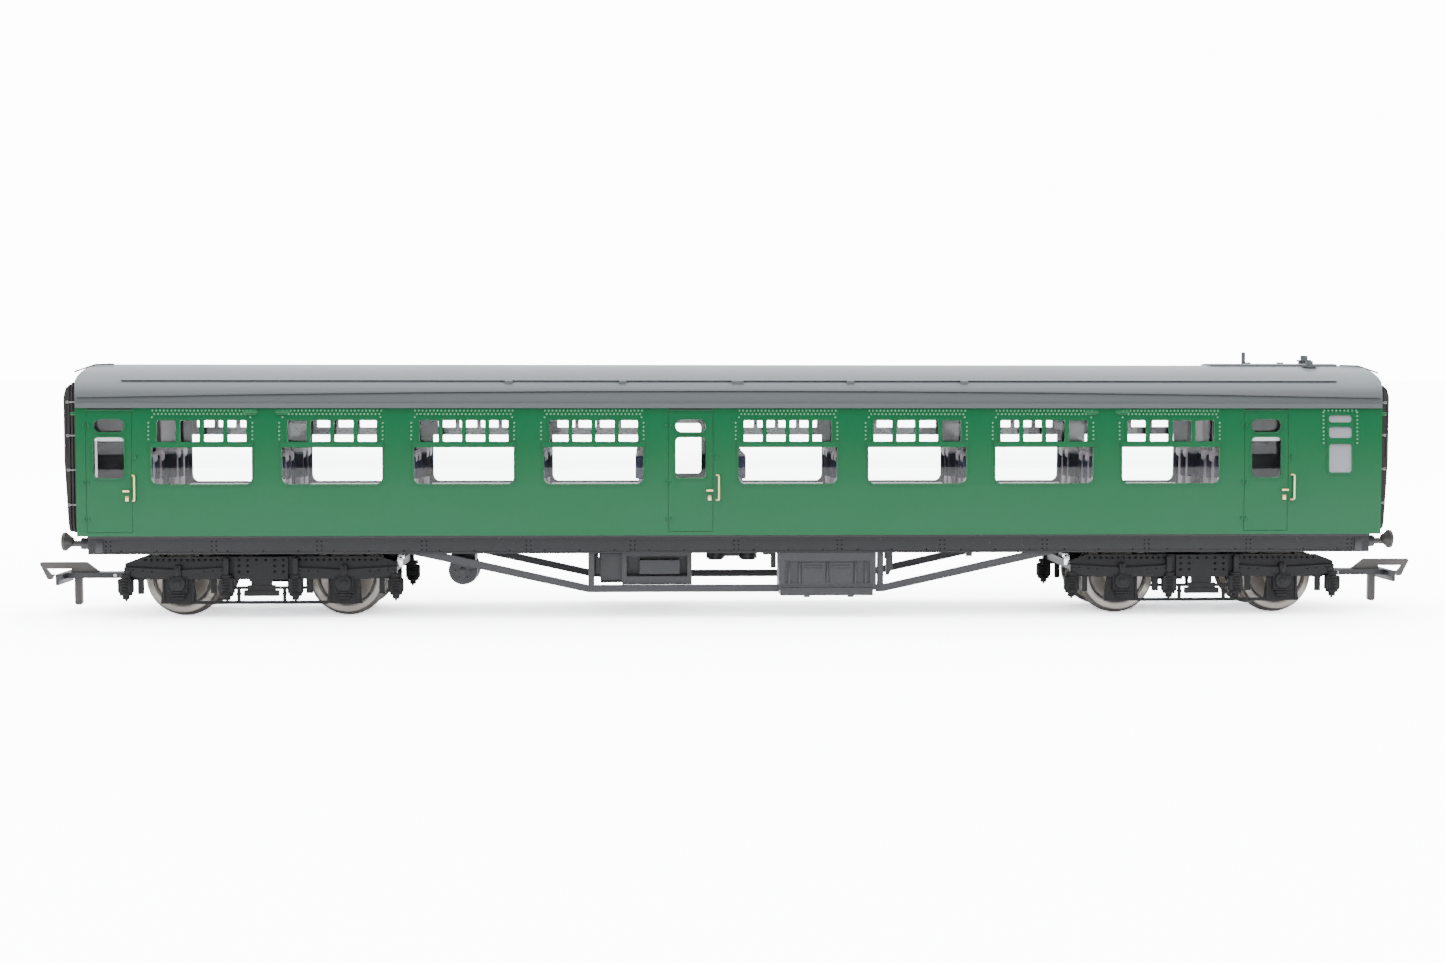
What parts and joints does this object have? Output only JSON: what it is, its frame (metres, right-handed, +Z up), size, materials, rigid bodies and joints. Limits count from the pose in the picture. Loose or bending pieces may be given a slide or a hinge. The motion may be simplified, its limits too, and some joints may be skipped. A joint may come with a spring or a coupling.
{
  "type": "model passenger coach",
  "caption": "Model railway passenger coach with a ribbed grey roof, green sides, opening-light windows, truss underframe, swivelling bogies, rolling wheels and lifting hook couplings.",
  "frame": {"origin": "on the surface that the wheel flanges stand on, under the centre of the coach", "axes": "+X along the coach towards the toilet end, +Y to the far side, +Z up"},
  "size_m": [0.2832, 0.0376, 0.0532],
  "materials": {
    "body_green": "satin paint on moulded plastic",
    "roof_grey": "matt grey paint on moulded plastic",
    "clear_glazing": "clear polished plastic",
    "obscured_glazing": "obscured white plastic",
    "gangway_black": "matt black plastic",
    "interior_plastic": "plain moulded plastic",
    "seat_blue": "moulded seats painted dark blue",
    "ballast_steel": "plain steel",
    "chassis_black": "satin black moulded plastic",
    "buffer_metal": "blackened metal",
    "handle_gold": "bright brass wire",
    "bearing_brass": "turned brass",
    "wheel_metal": "turned nickel silver, darkened",
    "axle_steel": "ground steel",
    "hook_steel": "blackened stamped steel"
  },
  "bodies": {
    "coach": {"ballast_weight": "ballast_steel", "battery_box_far": "chassis_black", "battery_box_near": "chassis_black", "body_shell": "body_green", "brake_brackets": "chassis_black", "buffer_heads": "buffer_metal", "buffer_housings": "chassis_black", "door_handles": "handle_gold", "dynamo": "chassis_black", "end_doors": "gangway_black", "equipment_box": "chassis_black", "filler_pipe": "roof_grey", "floor_blocks": "chassis_black", "floor_pan": "chassis_black", "gangway_bellows_a": "gangway_black", "gangway_bellows_b": "gangway_black", "gangway_plate_a": "gangway_black", "gangway_plate_b": "gangway_black", "glazing_far": "clear_glazing", "glazing_near": "clear_glazing", "grab_rails": "handle_gold", "headstocks": "chassis_black", "interior_tray": "interior_plastic", "partitions": "interior_plastic", "pivot_screws": "ballast_steel", "roof": "roof_grey", "roof_conduits": "roof_grey", "roof_ventilators": "roof_grey", "seats_far": "seat_blue", "seats_near": "seat_blue", "solebar_far": "chassis_black", "solebar_near": "chassis_black", "toilet_glass": "obscured_glazing", "toilet_ventilators": "roof_grey", "truss_far": "chassis_black", "truss_near": "chassis_black", "vacuum_cylinders": "chassis_black", "water_tank_cover": "roof_grey"},
    "bogie_a": {"bogie_a_bearings": "bearing_brass", "bogie_a_frame": "chassis_black", "bogie_a_side_far": "chassis_black", "bogie_a_side_near": "chassis_black", "coupling_bar_a": "chassis_black", "hook_pin_a": "axle_steel"},
    "bogie_b": {"bogie_b_bearings": "bearing_brass", "bogie_b_frame": "chassis_black", "bogie_b_side_far": "chassis_black", "bogie_b_side_near": "chassis_black", "coupling_bar_b": "chassis_black", "hook_pin_b": "axle_steel"},
    "hook_a": {"coupling_hook_a": "hook_steel"},
    "hook_b": {"coupling_hook_b": "hook_steel"},
    "wheelset_a_outer": {"axle_a_outer": "axle_steel", "wheels_a_outer": "wheel_metal"},
    "wheelset_a_inner": {"axle_a_inner": "axle_steel", "wheels_a_inner": "wheel_metal"},
    "wheelset_b_outer": {"axle_b_outer": "axle_steel", "wheels_b_outer": "wheel_metal"},
    "wheelset_b_inner": {"axle_b_inner": "axle_steel", "wheels_b_inner": "wheel_metal"}
  },
  "joints": [
    {"name": "bogie_a_swivel", "type": "hinge", "parent": "coach", "child": "bogie_a", "pos_m": [-0.0941, 0, 0.0115], "axis": [0, 0, 1], "range_deg": [-12, 12]},
    {"name": "wheelset_a_outer_roll", "type": "hinge", "parent": "bogie_a", "child": "wheelset_a_outer", "pos_m": [-0.1104, 0, 0.0079], "axis": [0, 1, 0], "continuous": true},
    {"name": "wheelset_a_inner_roll", "type": "hinge", "parent": "bogie_a", "child": "wheelset_a_inner", "pos_m": [-0.0778, 0, 0.0079], "axis": [0, 1, 0], "continuous": true},
    {"name": "hook_a_lift", "type": "hinge", "parent": "bogie_a", "child": "hook_a", "pos_m": [-0.126, 0, 0.00745], "axis": [0, 1, 0], "range_deg": [0, 18]},
    {"name": "bogie_b_swivel", "type": "hinge", "parent": "coach", "child": "bogie_b", "pos_m": [0.0941, 0, 0.0115], "axis": [0, 0, 1], "range_deg": [-12, 12]},
    {"name": "wheelset_b_outer_roll", "type": "hinge", "parent": "bogie_b", "child": "wheelset_b_outer", "pos_m": [0.1104, 0, 0.0079], "axis": [0, 1, 0], "continuous": true},
    {"name": "wheelset_b_inner_roll", "type": "hinge", "parent": "bogie_b", "child": "wheelset_b_inner", "pos_m": [0.0778, 0, 0.0079], "axis": [0, 1, 0], "continuous": true},
    {"name": "hook_b_lift", "type": "hinge", "parent": "bogie_b", "child": "hook_b", "pos_m": [0.126, 0, 0.00745], "axis": [0, -1, 0], "range_deg": [0, 18]}
  ]
}
